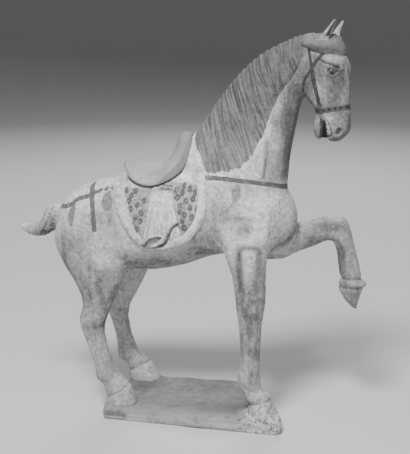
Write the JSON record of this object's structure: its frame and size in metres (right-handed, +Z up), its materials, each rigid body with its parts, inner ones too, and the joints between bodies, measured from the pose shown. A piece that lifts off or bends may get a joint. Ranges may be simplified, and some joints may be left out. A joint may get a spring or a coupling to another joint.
{
  "type": "chinese tomb horse figure",
  "caption": "Prancing pottery tomb horse with arched neck, combed mane, bound tail, relief saddle cloth and a saddle, standing on a thin rounded slab with one foreleg raised.",
  "frame": {"origin": "a point of the slab's underside, below the middle of the horse and on its centre plane", "axes": "+Z up, +X towards the head, +Y towards the horse's left side"},
  "size_m": [0.4145, 0.1235, 0.4633],
  "materials": {
    "horse": "matt, worn off-white slip over low-fired clay",
    "saddle": "matt, smooth grey pigment",
    "plinth": "matt, bare grey clay with worn slip along its near edge"
  },
  "bodies": {
    "root": {"horse": "horse", "saddle": "saddle", "plinth": "plinth"}
  },
  "joints": []
}
